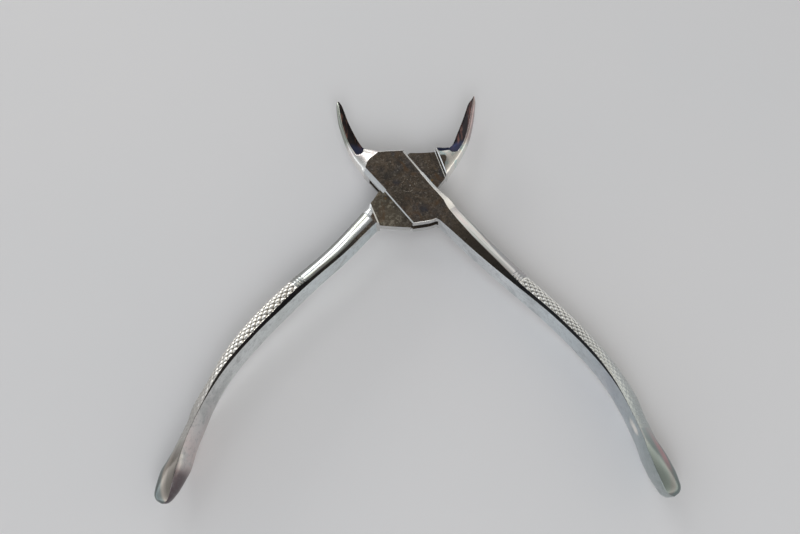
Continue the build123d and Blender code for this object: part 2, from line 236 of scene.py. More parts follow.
# ------------------------------------------------------------------ the halves' settings
# crown_power: 1 gives a round crown, above 1 a crisp front edge
# hollow_*: the scoop on the jaw's cutting side; rim: how wide it stays open, by x of the edge
# taper_*: length and power of the depth's taper at the handle's end
# bulge, wall, knurl_wear: value by distance along the handle
FEMALE = SimpleNamespace(
    rows=F_ROWS, grip=F_GRIP, flat=F_FLAT, trim=F_TRIM, end=101.9, crown_power=1.75,
    hollow_centre=(-14.75, 11.7), hollow_dir=(0.38, -0.92), hollow_r=1.95, rim=None,
    taper_span=13.0, taper_power=0.52,
    bulge=[(0, 0.02), (50, 0.04), (62, 0.35), (75, 0.75), (88, 1.05), (101.9, 1.1)],
    wall=[(0, 0.9), (8, 0.6), (18, 0.15), (24, 0.0)],
    knurl_pitch=1.42,
    knurl_wear=[(29, 1.0), (50, 0.95), (60, 0.6), (68, 0.3), (74, 0.14), (80, 0.05), (84, 0.0)],
)
MALE = SimpleNamespace(
    rows=M_ROWS, grip=M_GRIP, flat=M_FLAT, trim=M_TRIM, end=99.9, crown_power=1.0,
    hollow_centre=(14.3, 11.8), hollow_dir=(-0.38, -0.92), hollow_r=2.1,
    rim=[(8.2, 1.3), (9.5, 2.0), (11.5, 2.4), (13.2, 2.9)],
    taper_span=17.0, taper_power=0.60,
    bulge=[(0, 0.02), (45, 0.05), (60, 0.7), (75, 1.2), (90, 1.5)],
    wall=[(0, 0.0)],
    knurl_pitch=1.62,
    knurl_wear=[(29, 1.0), (55, 0.9), (64, 0.6), (72, 0.38), (80, 0.2), (84, 0.1)],
)
RIM_BELOW_Y = 14.3
HOLLOW_EDGE = 0.16  # half depth of the hollow at the cutting edge
HOLLOW_RISE = 3.2
CROWN_WALL_CHAMFER = 2.0
COLLAR = (26.7, 29.5)  # rippled collar above the knurl, distances along the handle
COLLAR_PITCH = 0.9333
KNURL_START, KNURL_END = 29.7, 82.6
KNURL_ANGLE = math.radians(42)
KNURL_RAISE, KNURL_DEPTH = 0.08, 0.42

# ------------------------------------------------------------------ interpolation


def hermite(x, y, slope, at):
    """Cubic interpolation of the columns of y with these slopes."""
    step = np.diff(x)
    k = np.clip(np.searchsorted(x, at, side="right") - 1, 0, len(x) - 2)
    t = ((at - x[k]) / step[k])[:, None]
    span = step[k][:, None]
    return (
        (2 * t**3 - 3 * t**2 + 1) * y[k]
        + (t**3 - 2 * t**2 + t) * span * slope[k]
        + (-2 * t**3 + 3 * t**2) * y[k + 1]
        + (t**3 - t**2) * span * slope[k + 1]
    )


def monotone(x, y, at):
    """Cubic interpolation that never overshoots."""
    step = np.diff(x)
    rate = np.diff(y, axis=0) / step[:, None]
    slope = np.zeros_like(y)
    w1 = (2 * step[1:] + step[:-1])[:, None]
    w2 = (step[1:] + 2 * step[:-1])[:, None]
    same = (rate[1:] * rate[:-1]) > 0
    with np.errstate(divide="ignore", invalid="ignore"):
        mean = (w1 + w2) / (w1 / rate[:-1] + w2 / rate[1:])
    slope[1:-1] = np.where(same, mean, 0)
    slope[0] = rate[0]
    slope[-1] = rate[-1]
    return hermite(x, y, slope, at)


def smooth(x, y, at):
    """Catmull-Rom interpolation, for points of a curve."""
    slope = np.zeros_like(y)
    slope[1:-1] = (y[2:] - y[:-2]) / (x[2:] - x[:-2])[:, None]
    slope[0] = (y[1] - y[0]) / (x[1] - x[0])
    slope[-1] = (y[-1] - y[-2]) / (x[-1] - x[-2])
    return hermite(x, y, slope, at)


def columns(table, at, method=monotone):
    """The table's columns after the first, interpolated over the first."""
    table = np.array(table, float)
    return method(table[:, 0], table[:, 1:], at)


def ramp(x, points):
    return np.interp(x, [p[0] for p in points], [p[1] for p in points])


# ------------------------------------------------------------------ stations


def stations(segments, step):
    """Rows at this spacing; corners between segments stay sharp."""
    out = []
    for segment in segments:
        rows = np.array(segment, float)
        gap_a = np.linalg.norm(np.diff(rows[:, 0:2], axis=0), axis=1)
        gap_b = np.linalg.norm(np.diff(rows[:, 2:4], axis=0), axis=1)
        along = np.concatenate([[0], np.cumsum(0.5 * (gap_a + gap_b))])
        at = np.linspace(0, along[-1], int(math.ceil(along[-1] / step)) + 1)
        new = monotone(along, rows, at)
        if len(along) > 3:
            new[:, :4] = smooth(along, rows[:, :4], at)
        if out and np.allclose(out[-1][-1], new[0]):
            new = new[1:]
        out.append(new)
    return np.concatenate(out)


def grip_distances(end):
    """Distances along a handle, close together at the collar, the knurl and the end."""
    return np.unique(np.round(np.concatenate([
        np.arange(0.25, 26.0, 0.45),
        np.arange(26.0, 30.4, 0.12),
        np.arange(30.4, 83.5, 0.165),
        np.arange(83.5, end - 8, 0.5),
        end - 8 * np.cos(np.linspace(0, math.pi / 2, 34)),
    ]), 4))


# ------------------------------------------------------------------ sections


def even(offset, z, count):
    """The same curve with evenly spaced points."""
    run = np.concatenate([[0], np.cumsum(np.hypot(np.diff(offset), np.diff(z)))])
    at = np.linspace(0, run[-1], count + 1)
    return np.interp(at, run, offset), np.interp(at, run, z)


def side_curve(count, samples, width, depth, wall, chamfer, power=1.0, bulge=0.0):
    """One side of a section: a blend of a round and a chamfered wall."""
    phase = np.linspace(0, 1, samples) * math.pi / 2
    round_off, round_z = even(width * (1 - np.cos(phase) ** power), depth * np.sin(phase), count)
    corner = 0.62  # share of the points below the chamfer
    u = np.linspace(0, 1, count + 1)
    v = np.clip((u - corner) / 0.38, 0, 1)
    straight = depth - chamfer
    wall_z = np.where(u <= corner, straight * u / corner, straight + chamfer * v)
    wall_off = width * v - bulge * (1 - np.clip(wall_z / depth, 0, 1) ** 2)
    return (1 - wall) * round_off + wall * wall_off, (1 - wall) * round_z + wall * wall_z


def section(width, side_a, side_b, dome=0.0, power=1.0, bulge=0.0):
    """Offsets from A and heights of the front half of one section.

    side_a, side_b: curve width, half depth, wall share, chamfer height.
    """
    off_a, z_a = side_curve(NA, 60, *side_a, bulge=bulge)
    off_b, z_b = side_curve(NB, 160, *side_b, power=power)
    m = np.linspace(0, 1, NM + 1)[1:-1]
    off_mid = side_a[0] + m * (width - side_a[0] - side_b[0])
    z_mid = side_a[1] + (side_b[1] - side_a[1]) * m + dome * 4 * m * (1 - m)
    offset = np.concatenate([off_a, off_mid, (width - off_b)[::-1]])
    return offset, np.concatenate([z_a, z_mid, z_b[::-1]])


def hollow_height(half, points, offset, width, side_a):
    """Height of the scooped surface that cuts the jaw's inner side."""
    q = np.clip((offset - side_a[0]) / (width - side_a[0]), 0, 1)
    z = HOLLOW_EDGE + (side_a[1] - HOLLOW_EDGE) * (1 - q) ** 1.35
    axis = np.array(half.hollow_dir) / np.linalg.norm(half.hollow_dir)
    rel = points - np.array(half.hollow_centre)
    along = rel @ axis
    across = np.abs(rel @ np.array([-axis[1], axis[0]]))
    reach = np.sqrt(np.maximum(0.05, half.hollow_r**2 - across**2))
    rise = HOLLOW_RISE * (np.clip(along, 0, None) / reach) ** 3.2
    beside = HOLLOW_RISE * np.clip((across - half.hollow_r) / 0.3, 0, 1)
    return z + rise + np.where(along > 0, beside, 0)


# A ring is: points, heights, distance along the handle (-1 off it), collar, hollow mark.


def body_ring(half, row, is_jaw):
    a, b, side_a, side_b = row[0:2], row[2:4], row[4:8], row[8:12]
    width = float(np.linalg.norm(b - a))
    power = 1.0 if is_jaw else half.crown_power
    offset, z = section(width, side_a, side_b, dome=row[12], power=power)
    points = a + (b - a) / width * offset[:, None]
    hollow = np.zeros(FRONT_COUNT)
    if is_jaw:
        floor_z = hollow_height(half, points, offset, width, side_a)
        inside = (np.arange(FRONT_COUNT) >= NA) & (floor_z < z)
        z = np.where(inside, floor_z, z)
        hollow = inside.astype(float)
        if half.rim and b[1] < RIM_BELOW_Y:
            rim = ramp(b[0], half.rim)
            hollow = np.maximum(hollow, np.clip((rim - (width - offset)) / 0.12 + 0.5, 0, 1))
    return points, np.minimum(z, HALF_THICK), -1.0, 0.0, hollow


def grip_rings(half):
    end = half.end
    distances = grip_distances(end)
    path = columns(half.grip, distances, smooth)
    normals = path[:, 2:4] / np.linalg.norm(path[:, 2:4], axis=1)[:, None]
    depths = columns(HALF_DEPTH, distances)[:, 0]
    flats = columns(half.flat, distances)[:, 0]
    trim = columns(half.trim, distances)
    ridges = path[:, 0:2] - normals * trim[:, :1]
    crowns = path[:, 4] + trim[:, 0] - trim[:, 1]
    rings = []
    for i, along in enumerate(distances):
        crown = crowns[i]
        u = max(0.0, (along - (end - half.taper_span)) / half.taper_span)
        depth = depths[i] * max(0.03, max(0.0, 1 - u**1.8) ** half.taper_power)
        # the last 2.8 mm close to a rounded tip
        v = max(0.0, (along - (end - 2.8)) / 2.8)
        fat = max(0.06, math.sqrt(max(0.0, 1 - v**2.4)))
        bulge = ramp(along, half.bulge) + trim[i, 2]
        mid = (crown - 0.6) / 2
        a = ridges[i] + normals[i] * (mid - mid * fat)
        b = ridges[i] + normals[i] * (mid + (crown - mid) * fat)
        width = float(np.linalg.norm(b - a))
        flat = min(flats[i] * fat, 0.75 * crown * fat)
        collar = 0.0
        if COLLAR[0] < along < COLLAR[1]:
            wave = abs(math.sin(math.pi * (along - COLLAR[0]) / COLLAR_PITCH))
            collar = 0.26 * wave ** 0.8 - 0.13
        chamfer = min(CROWN_WALL_CHAMFER + 0.03 * along, 0.7 * depth)
        offset, z = section(
            width,
            (0.05 * fat, depth, 1.0, 0.04 * fat),
            (crown * fat - flat, depth, ramp(along, half.wall), chamfer),
            power=ramp(along, [(40, half.crown_power), (60, 1.6), (75, 2.0)]),
            bulge=bulge * fat,
        )
        points = a + (b - a) / width * offset[:, None]
        rings.append((points, z, along, collar, np.zeros(FRONT_COUNT)))
    return rings


# ------------------------------------------------------------------ mesh of a half


def grid_normals(co):
    du = np.zeros_like(co)
    du[1:-1] = co[2:] - co[:-2]
    du[0] = co[1] - co[0]
    du[-1] = co[-1] - co[-2]
    dv = np.roll(co, -1, axis=1) - np.roll(co, 1, axis=1)
    normals = np.cross(dv, du)
    normals /= np.maximum(1e-9, np.linalg.norm(normals, axis=2))[..., None]
    if np.sum((co - co.mean(axis=1, keepdims=True)) * normals) < 0:
        normals = -normals
    return normals


def crown_relief(half, co, along, collar):
    """Height of the collar and knurl, darkening of the grooves (painted shade and some grime),
    distance from the crown's middle.
    """
    count = co.shape[1]
    index = np.arange(count)
    gaps = np.linalg.norm(np.diff(co, axis=1, append=co[:, :1]), axis=2)
    run = np.concatenate([np.zeros((len(co), 1)), np.cumsum(gaps, axis=1)[:, :-1]], axis=1)
    arc = run - run[:, FRONT_COUNT - 1:FRONT_COUNT]
    crown = ((index >= NA + NM) & (index <= count - NA - NM))[None]
    inset = np.abs(arc[:, NA + NM])[:, None] - np.abs(arc)
    knurled = np.clip((along - KNURL_START) / 0.5, 0, 1) * np.clip((KNURL_END - along) / 1.2, 0, 1)
    knurled = knurled[:, None]
    edge = np.clip(inset / 0.22, 0, 1)
    lengthwise = along[:, None] * math.sin(KNURL_ANGLE)
    crosswise = arc * math.cos(KNURL_ANGLE)
    pu = (lengthwise + crosswise) / half.knurl_pitch
    pv = (lengthwise - crosswise) / half.knurl_pitch
    diamonds = np.abs(np.sin(math.pi * pu) * np.sin(math.pi * pv)) ** 0.55
    wear_and_glint = ramp(along, half.knurl_wear)[:, None]
    groove = (1 - diamonds) * knurled * edge
    relief = np.where(crown, (KNURL_RAISE * knurled * edge - KNURL_DEPTH * groove) * wear_and_glint, 0)
    # painted shade with some grime: the grooves darken with their depth
    groove_dirt_and_shade = np.clip(groove * 1.3 - 0.25, 0, 1) * np.minimum(1, wear_and_glint * 1.1)
    ripple = collar[:, None] * np.clip(inset / 0.35 + 0.15, 0, 1)
    return relief + np.where(crown, ripple, 0), np.where(crown, groove_dirt_and_shade, 0), arc


def face_looks(along, count, jaw_count):
    """Material slot of each face between the rings, then of the two end caps."""
    index = np.arange(count)
    from_a = np.minimum(index, count - 1 - index)
    start = along[:-1]
    looks = np.full((len(start), count), BOX, np.int32)
    looks[:jaw_count] = JAW
    on_grip = start > 0
    looks[on_grip] = GRIP
    looks[np.ix_(on_grip, from_a < NA)] = INNER
    looks[np.ix_(on_grip & (start < 70), (from_a >= NA) & (from_a < NA + NM))] = FRONT
    looks[np.ix_((start > KNURL_START) & (start < 82.8), from_a >= NA + NM)] = KNURL
    return np.concatenate([looks.ravel(), [JAW, GRIP]]).astype(np.int32)


def mirrored(front, sign=1):
    """Whole rings from their front halves."""
    return np.concatenate([front, front[:, -2:0:-1] * sign], axis=1)


def tidy_and_link(mesh, name, weld=False):
    bm = bmesh.new()
    bm.from_mesh(mesh)
    if weld:
        bmesh.ops.remove_doubles(bm, verts=bm.verts, dist=1e-7)
    bmesh.ops.recalc_face_normals(bm, faces=bm.faces)
    bm.to_mesh(mesh)
    bm.free()
    obj = bpy.data.objects.new(name, mesh)
    bpy.context.scene.collection.objects.link(obj)
    return obj


def side_faces(start, count):
    """Quads between the ring of points at start and the next ring."""
    nxt = start + count
    pairs = [(i, (i + 1) % count) for i in range(count)]
    return [(start + i, start + k, nxt + k, nxt + i) for i, k in pairs]


def build_half(name, half, materials):
    jaw_rows = stations(half.rows[:1], JAW_STEP)
    rings = [body_ring(half, row, True) for row in jaw_rows]
    rings += [body_ring(half, row, False) for row in stations(half.rows[1:], BOX_STEP)[1:]]
    rings += grip_rings(half)
    points, heights, along, collar, hollow = (np.array(part) for part in zip(*rings))
    heights[:, [0, -1]] = 0
    co = mirrored(np.concatenate([points, heights[..., None]], axis=2), (1, 1, -1))
    relief, groove_dirt_and_shade, arc = crown_relief(half, co, along, collar)
    co = co + grid_normals(co) * relief[..., None]
    co[..., 2] += MID
    ring_count, count = co.shape[:2]
    faces = []
    for start in range(0, (ring_count - 1) * count, count):
        for j in range(count):
            k = (j + 1) % count
            faces.append((start + j, start + count + j, start + count + k, start + k))
    faces.append(tuple(range(count)))
    faces.append(tuple(range((ring_count - 1) * count, ring_count * count))[::-1])
    mesh = bpy.data.meshes.new(name)
    mesh.from_pydata([tuple(v) for v in (co * MM).reshape(-1, 3)], [], faces)
    for mat in materials:
        mesh.materials.append(mat)
    mesh.polygons.foreach_set("material_index", face_looks(along, count, len(jaw_rows)))
    mesh.update()
    # read by the materials
    fields = {
        "groove": groove_dirt_and_shade,
        "along": np.repeat(np.maximum(along, 0), count),
        "across": arc,
        "hollow": mirrored(hollow),
    }
    for field, values in fields.items():
        layer = mesh.attributes.new(field, "FLOAT", "POINT")
        layer.data.foreach_set("value", values.astype(np.float32).ravel())
    return tidy_and_link(mesh, name, weld=True)


# ------------------------------------------------------------------ solids


def solid(name, verts, faces):
    mesh = bpy.data.meshes.new(name)
    mesh.from_pydata(verts, [], faces)
    return tidy_and_link(mesh, name)


def circle(radius, z):
    turns = [2 * math.pi * i / ROUND_SIDES for i in range(ROUND_SIDES)]
    return [(radius * math.cos(t) * MM, radius * math.sin(t) * MM, z * MM) for t in turns]


def cylinder(name, radius):
    """A closed cylinder on the pin's axis, reaching 1 mm past both box faces."""
    n = ROUND_SIDES
    verts = circle(radius, -1) + circle(radius, MID + HALF_THICK + 1)
    caps = [tuple(range(n))[::-1], tuple(range(n, 2 * n))]
    return solid(name, verts, caps + side_faces(0, n))


def stack(name, layers):
    """A closed block through a list of (z, polygon) layers."""
    n = len(layers[0][1])
    verts = [(x * MM, y * MM, z * MM) for z, polygon in layers for x, y in polygon]
    faces = [tuple(range(n))[::-1]]
    for k in range(len(layers) - 1):
        faces += side_faces(k * n, n)
    faces.append(tuple(range((len(layers) - 1) * n, len(layers) * n)))
    return solid(name, verts, faces)


def strip(dist_1, deg_1, dist_2, deg_2):
    """The quadrilateral between two lines, each given by its distance and direction."""
    corners = []
    for dist, deg in ((dist_1, deg_1), (dist_2, deg_2)):
        c, s = math.cos(math.radians(deg)), math.sin(math.radians(deg))
        corners += [(dist * c - t * s, dist * s + t * c) for t in (-24, 24)]
    return corners


def slot_block():
    """The slot through the female box, with rounded long edges."""
    levels = []
    for i in range(7):
        t = i / 6 * math.pi / 2
        levels.append((-SLOT + SLOT_ROUND * (1 - math.cos(t)), SLOT_ROUND * (1 - math.sin(t))))
    levels += [(-z, shrink) for z, shrink in levels[::-1]]
    return stack("slot", [
        (MID + z, strip(SLOT_JAW[0] - shrink, SLOT_JAW[1], SLOT_GRIP[0] - shrink, SLOT_GRIP[1]))
        for z, shrink in levels
    ])


def pocket(side):
    """The recess beside the tongue; its end walls lean out towards the box face."""
    # height from the middle, distance of the jaw wall, distance of the handle wall
    layers = [
        (TONGUE, 11.30, 11.80), (1.32, 11.46, 11.95), (3.02, 11.72, 11.98),
        (3.30, 12.02, 12.44), (4.20, 12.9, 13.8),
    ]
    return stack("pocket", [
        (MID + side * z, strip(jaw, 18.0, grip, 200.6)) for z, jaw, grip in layers
    ])


def cut(obj, cutter):
    mod = obj.modifiers.new("cut", "BOOLEAN")
    mod.operation = "DIFFERENCE"
    mod.object = cutter
    mod.solver = "MANIFOLD"
    graph = bpy.context.evaluated_depsgraph_get()
    mesh = bpy.data.meshes.new_from_object(obj.evaluated_get(graph))
    obj.modifiers.clear()
    old = obj.data
    obj.data = mesh
    mesh.name = obj.name
    bpy.data.meshes.remove(old)
    bpy.data.objects.remove(cutter)


def build_pin():
    n = ROUND_SIDES
    top = MID + HALF_THICK
    rim = PIN_R - PIN_CHAMFER
    levels = [(rim, PIN_SINK), (PIN_R, 0.07), (PIN_R, top - 0.07), (rim, top - PIN_SINK)]
    verts = [(0, 0, PIN_SINK * MM)]
    for radius, z in levels:
        verts += circle(radius, z)
    verts.append((0, 0, (top - PIN_SINK) * MM))
    faces = [(0, 1 + (i + 1) % n, 1 + i) for i in range(n)]
    for k in range(3):
        faces += side_faces(1 + k * n, n)
    last = 1 + 3 * n
    faces += [(last + i, last + (i + 1) % n, len(verts) - 1) for i in range(n)]
    return solid("pin_rivet", verts, faces)


# ------------------------------------------------------------------ node helper


class Nodes:
    """Builds the node tree of a material or a world."""

    def __init__(self, owner, output="ShaderNodeOutputMaterial", space="Object"):
        self.owner = owner
        owner.use_nodes = True
        self.tree = owner.node_tree
        self.tree.nodes.clear()
        self.out = self.node(output)
        self.place = self.node("ShaderNodeTexCoord").outputs[space]

    def node(self, kind, **settings):
        node = self.tree.nodes.new(kind)
        for key, value in settings.items():
            setattr(node, key, value)
        return node

    def link(self, a, b):
        self.tree.links.new(a, b)

    def put(self, value, socket):
        if isinstance(value, tuple):
            socket.default_value = (*value, 1) if len(value) == 3 else value
        elif isinstance(value, (int, float)):
            socket.default_value = value
        else:
            self.link(value, socket)

    def noise(self, scale, detail=3.0, rough=0.55, dist=0.0, at=None):
        node = self.node("ShaderNodeTexNoise")
        node.inputs["Scale"].default_value = scale
        node.inputs["Detail"].default_value = detail
        node.inputs["Roughness"].default_value = rough
        node.inputs["Distortion"].default_value = dist
        self.link(at or self.place, node.inputs["Vector"])
        return node.outputs["Fac"]

    def ramp(self, fac, stops):
        node = self.node("ShaderNodeValToRGB")
        elements = node.color_ramp.elements
        while len(elements) < len(stops):
            elements.new(0.5)
        for element, (pos, c) in zip(elements, stops):
            element.position = pos
            element.color = (c, c, c, 1) if isinstance(c, (int, float)) else (*c, 1)
        self.link(fac, node.inputs[0])
        return node.outputs[0]

    def mix(self, fac, a, b, **settings):
        node = self.node("ShaderNodeMix", data_type="RGBA", **settings)
        self.put(fac, node.inputs[0])
        self.put(a, node.inputs[6])
        self.put(b, node.inputs[7])
        return node.outputs[2]

    def cover(self, col, over, start, full, amount=1.0, by=None, **noise):
        """Lay a colour over col where a noise rises from start to full."""
        by = by or self.noise(**noise)
        return self.mix(self.ramp(by, [(start, 0.0), (full, amount)]), col, over)

    def math(self, op, *values, clamp=False):
        node = self.node("ShaderNodeMath", operation=op, use_clamp=clamp)
        for value, socket in zip(values, node.inputs):
            self.put(value, socket)
        return node.outputs[0]

    def times(self, a, b, clamp=False):
        return self.math("MULTIPLY", a, b, clamp=clamp)

    def scaled(self, value, by, plus):
        return self.math("MULTIPLY_ADD", value, by, plus)

    def attr(self, name):
        return self.node("ShaderNodeAttribute", attribute_name=name).outputs["Fac"]

    def axes(self):
        node = self.node("ShaderNodeSeparateXYZ")
        self.link(self.place, node.inputs[0])
        return node.outputs

    def axis(self, name):
        return self.axes()[name]

    def steps(self, value, zero, one):
        """0 at zero, 1 at one, clamped."""
        node = self.node("ShaderNodeMapRange", clamp=True)
        self.put(value, node.inputs[0])
        node.inputs[1].default_value = zero
        node.inputs[2].default_value = one
        return node.outputs[0]

    def vec(self, x, y, z):
        node = self.node("ShaderNodeCombineXYZ")
        for value, socket in zip((x, y, z), node.inputs):
            self.put(value, socket)
        return node.outputs[0]

    def flat_place(self):
        return self.vec(self.axis("X"), self.axis("Y"), 0.0)

    def streaks(self, along, across, detail, dist):
        """Noise drawn out along the half."""
        at = self.vec(
            self.times(self.attr("along"), along),
            self.times(self.attr("across"), across),
            self.times(self.axis("Z"), 60.0),
        )
        return self.noise(scale=1.0, detail=detail, dist=dist, at=at)

    def spot(self, x, y, radius, soft):
        """1 at a point of the xy plane (mm), fading out at the radius."""
        node = self.node("ShaderNodeVectorMath", operation="DISTANCE")
        self.link(self.flat_place(), node.inputs[0])
        node.inputs[1].default_value = (x * MM, y * MM, 0)
        wobble = self.noise(scale=900, detail=4, rough=0.7)
        away = self.scaled(wobble, by=soft * MM, plus=node.outputs["Value"])
        return self.steps(away, zero=radius * MM, one=(radius - soft) * MM)

    def metal(self, col, rough, height=None, strength=0.25, depth=0.00002, metallic=1.0):
        node = self.node("ShaderNodeBsdfPrincipled")
        self.put(col, node.inputs["Base Color"])
        self.put(rough, node.inputs["Roughness"])
        node.inputs["Metallic"].default_value = metallic
        if height is not None:
            bump = self.node("ShaderNodeBump")
            bump.inputs["Strength"].default_value = strength
            bump.inputs["Distance"].default_value = depth
            self.link(height, bump.inputs["Height"])
            self.link(bump.outputs[0], node.inputs["Normal"])
        return node.outputs[0]

    def both(self, fac, a, b):
        node = self.node("ShaderNodeMixShader")
        for value, socket in zip((fac, a, b), node.inputs):
            self.link(value, socket)
        return node.outputs[0]

    def done(self, shader):
        self.link(shader, self.out.inputs[0])
        return self.owner


def new_material(name):
    return Nodes(bpy.data.materials.new(name))


# ------------------------------------------------------------------ materials
PAINT_LENGTH = 102.0  # handle length that colour stops 0 to 1 span
PIN_RING_R = 1.93
# marks on the ground faces, in mm: x, y, radius (specks: x, y)
RUST = [(-6.6, -2.8, 1.0), (7.0, 2.4, 0.9), (-5.0, -3.6, 0.6), (8.1, 6.2, 0.5)]
STAINS = [
    (4.6, -7.5, 3.6), (-6.0, 3.4, 3.2), (-7.7, 5.4, 2.6),
    (-2.4, 8.2, 2.2), (-3.4, 1.1, 2.6), (1.6, 5.2, 2.0),
]
SPECKS = [(0.64, 0.08), (-4.3, -5.6)]


def polished(m):
    """Worn nickel: stains, cloudy patches and fine scratches."""
    fine = m.noise(scale=2600, detail=4, rough=0.6)
    patch = m.noise(scale=240, detail=5, rough=0.6, dist=0.4)
    col = m.cover((0.68, 0.685, 0.68), (0.50, 0.45, 0.38), start=0.42, full=0.75, amount=0.4,
                  scale=95, detail=4, rough=0.65, dist=0.8)
    col = m.cover(col, (0.58, 0.60, 0.58), start=0.5, full=0.85, amount=0.35, by=patch)
    rough = m.scaled(fine, by=0.06, plus=m.scaled(patch, by=0.16, plus=0.1))
    height = m.scaled(m.noise(scale=700), by=1.0, plus=m.times(fine, 0.25))
    return m.metal(col, rough, height)


def ground(m, base=(0.115, 0.095, 0.075), rough=0.40, olive=0.0):
    """Tarnished ground steel: blue-grey and brown heat stains, speckle and small rust marks."""
    mid = m.noise(scale=430, detail=5, rough=0.65, dist=0.9)
    fine = m.noise(scale=2300, detail=5, rough=0.75)
    col = m.cover(base, (0.20, 0.155, 0.115), start=0.38, full=0.66,
                  scale=150, detail=4, rough=0.6, dist=0.6)
    col = m.cover(col, (0.085, 0.095, 0.115), start=0.50, full=0.68, amount=0.5,
                  scale=170, rough=0.5, dist=1.2)
    col = m.cover(col, (0.27, 0.24, 0.20), start=0.54, full=0.72, amount=0.55, by=mid)
    dark = m.noise(scale=1250, detail=5, rough=0.7, dist=0.6)
    col = m.mix(m.ramp(dark, [(0.44, 0.55), (0.56, 0.0)]), col, (0.045, 0.040, 0.038))
    col = m.cover(col, (0.42, 0.38, 0.32), start=0.56, full=0.68, amount=0.8,
                  scale=1500, detail=5, rough=0.75, dist=0.3)
    col = m.cover(col, (0.035, 0.030, 0.026), start=0.52, full=0.72, amount=0.6, by=fine)
    if olive:
        # towards -x
        side = m.steps(m.axis("X"), zero=0.002, one=-0.004)
        col = m.mix(m.times(side, olive), col, (0.20, 0.175, 0.13))
        side = m.steps(m.axis("X"), zero=0.002, one=-0.004)
        pale = m.ramp(m.noise(scale=800, detail=5, rough=0.7), [(0.49, 0.0), (0.62, 0.9)])
        col = m.mix(m.times(side, pale), col, (0.42, 0.38, 0.30))
    col = m.cover(col, (0.34, 0.18, 0.05), start=0.66, full=0.73, amount=0.85,
                  scale=340, detail=6, rough=0.7, dist=0.5)
    col = m.cover(col, (0.17, 0.10, 0.055), start=0.54, full=0.68, amount=0.55,
                  scale=210, detail=4, rough=0.6, dist=1.0)
    for i, (x, y, radius) in enumerate(STAINS):
        tone = (0.045, 0.052, 0.075) if i % 4 == 0 else (0.05, 0.047, 0.048)
        stain = m.spot(x, y, radius, soft=radius * 0.8)
        col = m.mix(m.times(stain, 0.95, clamp=True), col, tone)
    if not olive:
        # the pin shows only as a faint, broken ring
        length = m.node("ShaderNodeVectorMath", operation="LENGTH")
        m.link(m.flat_place(), length.inputs[0])
        radius = m.times(length.outputs["Value"], 1000.0)
        away = m.math("ABSOLUTE", m.math("SUBTRACT", radius, PIN_RING_R))
        band = m.math("SUBTRACT", 1.0, m.times(away, 5.5), clamp=True)
        broken = m.ramp(m.noise(scale=1700, rough=0.6), [(0.50, 0.0), (0.57, 1.0)])
        col = m.mix(m.times(band, broken), col, (0.50, 0.45, 0.38))
    for x, y, radius in RUST:
        col = m.mix(m.spot(x, y, radius, soft=radius * 0.9), col, (0.42, 0.25, 0.07))
    for x, y in SPECKS:
        col = m.mix(m.spot(x, y, radius=0.22, soft=0.1), col, (0.85, 0.83, 0.76))
    height = m.scaled(fine, by=0.7, plus=m.times(mid, 0.6))
    return m.metal(col, m.scaled(mid, by=0.25, plus=rough - 0.1), height,
                   strength=0.5, depth=0.00004, metallic=0.9)


def flat_mask(m):
    """1 on the two ground faces of the box, exactly at their height."""
    away = m.math("ABSOLUTE", m.math("SUBTRACT", m.axis("Z"), MID * MM))
    return m.steps(away, zero=(HALF_THICK - 0.022) * MM, one=(HALF_THICK - 0.010) * MM)


def ground_material(name, **settings):
    m = new_material(name)
    return m.done(ground(m, **settings))


def box_material(name):
    m = new_material(name)
    return m.done(m.both(flat_mask(m), polished(m), ground(m)))


def jaw_material(name, crown, streak, neck):
    """Outer crown with painted reflection tints and a painted highlight at the neck, dark hollow
    on the cutting side painted as a dark reflection, ground where the box face starts.
    """
    m = new_material(name)
    drawn = m.vec(m.times(m.axis("X"), 900.0), m.times(m.axis("Y"), 130.0),
                  m.times(m.axis("Z"), 300.0))
    lines = m.noise(scale=1.0, detail=4, rough=0.6, dist=0.5, at=drawn)
    # painted reflection: the hollow is near-black with pink-brown streaks, for the dark
    # surroundings and the pink backdrop
    col = m.cover((0.011, 0.009, 0.010), streak, start=0.50, full=0.66, amount=0.9, by=lines)
    col = m.cover(col, (0.10, 0.09, 0.08), start=0.60, full=0.8, amount=0.5,
                  scale=500, detail=4, rough=0.6)
    # painted reflection: dark blue low on the hollow, towards the jaw's base
    low = m.times(m.steps(m.axis("Y"), zero=0.0151, one=0.0136), 0.85)
    col = m.mix(low, col, (0.014, 0.019, 0.048))
    dark = m.metal(col, m.scaled(lines, by=0.2, plus=0.28), m.noise(scale=1500, detail=4),
                   strength=0.3, depth=0.00003)
    # the crown colour is a painted reflection tint, grey-green on one jaw and pink on the other
    crown = m.cover(crown, (0.30, 0.29, 0.25), start=0.45, full=0.75, amount=0.7,
                    scale=260, detail=4, rough=0.6, dist=0.4)
    # painted highlight: cream-white towards the neck, mixed with the neck colour's pink or teal
    # painted reflection
    neck = m.cover((0.90, 0.88, 0.84), neck, start=0.48, full=0.62, amount=0.8,
                   scale=330, rough=0.5, dist=0.6)
    crown = m.mix(m.steps(m.axis("Y"), zero=0.0155, one=0.0125), crown, neck)
    rough = m.scaled(m.noise(scale=300, detail=4), by=0.15, plus=0.16)
    light = m.metal(crown, rough, m.noise(scale=900, detail=4))
    hollow = m.steps(m.attr("hollow"), zero=0.35, one=0.65)
    return m.done(m.both(flat_mask(m), m.both(hollow, light, dark), ground(m)))


